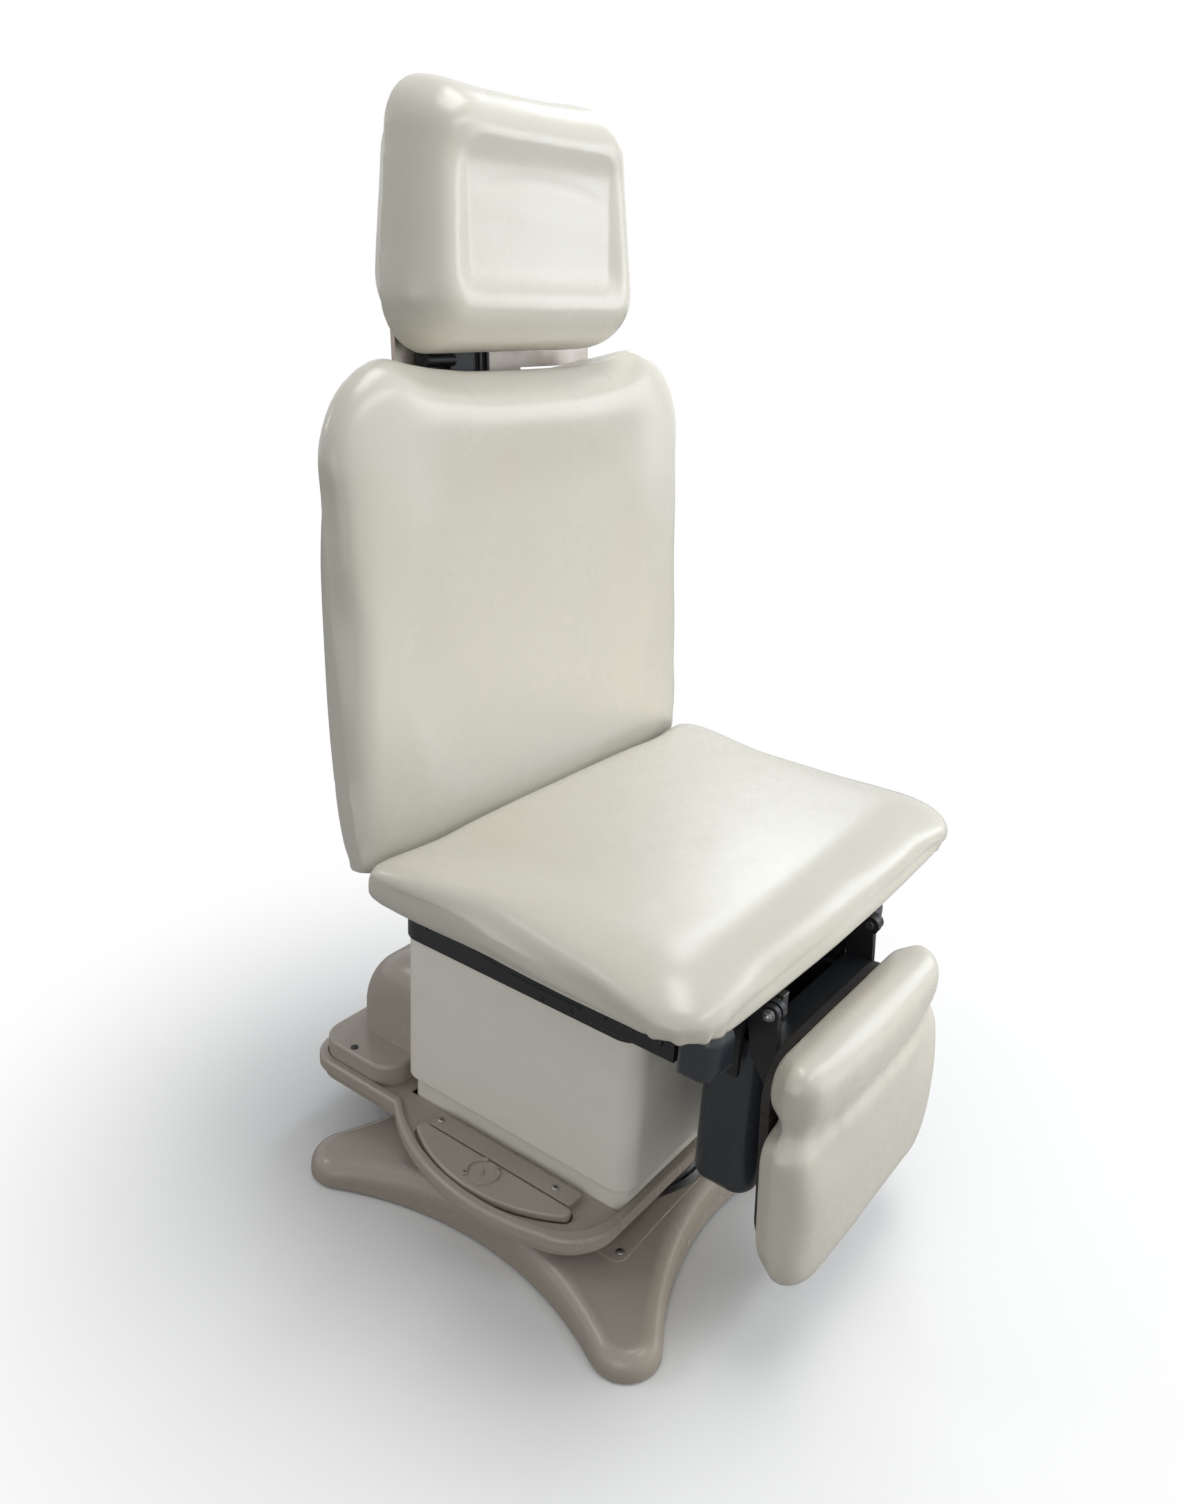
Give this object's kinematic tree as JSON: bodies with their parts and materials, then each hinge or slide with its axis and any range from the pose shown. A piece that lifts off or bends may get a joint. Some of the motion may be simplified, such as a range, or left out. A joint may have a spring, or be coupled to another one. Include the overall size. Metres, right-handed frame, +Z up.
{
  "type": "powered procedure table",
  "caption": "Powered clinic procedure table in chair form: swivelling base with foot brake, telescoping lift, tilting seat, reclining back, raising leg section and adjustable headrest.",
  "frame": {"origin": "swivel axis at floor level, on the underside of the floor plate", "axes": "+Z up; the patient faces -Y; -X is the patient's right, the side with the pedal"},
  "size_m": [0.606, 0.7144, 1.2337],
  "materials": {
    "vinyl": "soft satin sheen",
    "cover_paint": "satin off-white paint",
    "taupe_plastic": "fine satin texture",
    "black_plastic": "satin black",
    "dark_gloss": "smooth dark grey",
    "black_steel": "satin black paint",
    "zinc_steel": "bright zinc",
    "plain_steel": "machined",
    "aluminium": "brushed",
    "plywood": "dark stained",
    "friction": "plain",
    "nylon": "plain"
  },
  "bodies": {
    "base": {"base_plate": "black_steel", "base_shroud": "taupe_plastic", "base_front_panel": "taupe_plastic", "base_screws": "zinc_steel", "bearing_lower_ring": "plain_steel", "thrust_washer": "nylon", "brake_ring": "plain_steel"},
    "turntable": {"turntable_plate": "plain_steel", "bearing_upper_ring": "plain_steel", "keeper_ring": "plain_steel", "upper_shroud": "taupe_plastic", "rear_cover": "taupe_plastic", "rear_cover_screws": "black_steel", "pedal_strip": "taupe_plastic", "strip_screws": "zinc_steel", "pedal_pin": "zinc_steel", "lift_cover_lower": "cover_paint", "column_stage_1": "black_steel", "lift_motor": "black_steel", "power_supply": "aluminium", "mains_inlet": "black_plastic"},
    "pedal": {"pedal": "taupe_plastic", "brake_plunger": "zinc_steel"},
    "stage_2": {"column_stage_2": "plain_steel", "lift_cover_second": "cover_paint"},
    "stage_3": {"column_stage_3": "plain_steel", "lift_cover_third": "cover_paint"},
    "carriage": {"column_stage_4": "plain_steel", "carriage_plate": "black_steel", "lift_cover_upper": "cover_paint", "carriage_band": "black_plastic", "band_screws": "black_steel", "tilt_pins": "zinc_steel", "tilt_barrel": "black_steel"},
    "tilt_rod": {"tilt_rod": "plain_steel"},
    "seat": {"seat_frame": "black_steel", "seat_board": "plywood", "seat_cushion": "vinyl", "side_bars": "black_steel", "bar_bolts": "black_steel", "back_barrel": "black_plastic", "leg_barrel": "black_plastic", "back_hinge_pins": "zinc_steel", "leg_hinge_brackets": "black_steel", "leg_hinge_pins": "zinc_steel", "pivot_covers": "dark_gloss", "leg_drive_cover": "dark_gloss"},
    "back": {"back_frame": "black_steel", "back_board": "plywood", "back_cushion": "vinyl", "headrest_guides": "black_plastic"},
    "back_rod": {"back_rod": "plain_steel"},
    "leg": {"leg_frame": "black_steel", "leg_board": "plywood", "leg_cushion": "vinyl"},
    "leg_rod": {"leg_rod": "plain_steel"},
    "headrest_post": {"headrest_post": "aluminium"},
    "headrest": {"headrest_board": "black_plastic", "headrest_cushion": "vinyl"},
    "knob": {"headrest_knob": "black_plastic"}
  },
  "joints": [
    {"name": "swivel", "type": "hinge", "parent": "base", "child": "turntable", "pos_m": [0, 0, 0.06], "axis": [0, 0, 1], "range_deg": [-175, 175]},
    {"name": "pedal_press", "type": "hinge", "parent": "turntable", "child": "pedal", "pos_m": [-0.191, 0.008, 0.082], "axis": [0, -1, 0], "range_deg": [0, 5], "stiffness_Nm_per_rad": 12, "springref_deg": -17.19},
    {"name": "lift", "type": "slide", "parent": "turntable", "child": "carriage", "axis": [0, 0, 1], "range_m": [0, 0.533]},
    {"name": "stage_2_rise", "type": "slide", "parent": "turntable", "child": "stage_2", "axis": [0, 0, 1], "range_m": [0, 0.178]},
    {"name": "stage_3_rise", "type": "slide", "parent": "turntable", "child": "stage_3", "axis": [0, 0, 1], "range_m": [0, 0.356]},
    {"name": "tilt", "type": "hinge", "parent": "carriage", "child": "seat", "pos_m": [0, 0.143, 0.3515], "axis": [-1, 0, 0], "range_deg": [0, 20]},
    {"name": "tilt_rod_rise", "type": "slide", "parent": "carriage", "child": "tilt_rod", "axis": [0, 0, 1], "range_m": [0, 0.0855]},
    {"name": "recline", "type": "hinge", "parent": "seat", "child": "back", "pos_m": [0, 0.146, 0.458], "axis": [-1, 0, 0], "range_deg": [0, 86]},
    {"name": "back_rod_pull", "type": "slide", "parent": "seat", "child": "back_rod", "axis": [0, -1, 0], "range_m": [0, 0.1302]},
    {"name": "leg_raise", "type": "hinge", "parent": "seat", "child": "leg", "pos_m": [0, -0.278, 0.396], "axis": [-1, 0, 0], "range_deg": [0, 86]},
    {"name": "leg_rod_push", "type": "slide", "parent": "seat", "child": "leg_rod", "axis": [0, -1, 0], "range_m": [0, 0.0495]},
    {"name": "headrest_rise", "type": "slide", "parent": "back", "child": "headrest_post", "axis": [0, 0.0698, 0.9976], "range_m": [0, 0.12]},
    {"name": "headrest_tilt", "type": "hinge", "parent": "headrest_post", "child": "headrest", "pos_m": [0, 0.25553, 1.06384], "axis": [-1, 0, 0], "range_deg": [0, 35]},
    {"name": "knob_turn", "type": "hinge", "parent": "back", "child": "knob", "pos_m": [-0.1, 0.24474, 0.93828], "axis": [-1, 0, 0], "range_deg": [0, 120]}
  ],
  "couplings": [
    {"joint": "stage_2_rise", "follows": "lift", "ratio": 0.33333},
    {"joint": "stage_3_rise", "follows": "lift", "ratio": 0.66667},
    {"joint": "tilt_rod_rise", "follows": "tilt", "m_per_rad": 0.2435},
    {"joint": "back_rod_pull", "follows": "recline", "m_per_rad": 0.08633},
    {"joint": "leg_rod_push", "follows": "leg_raise", "m_per_rad": 0.032714}
  ]
}
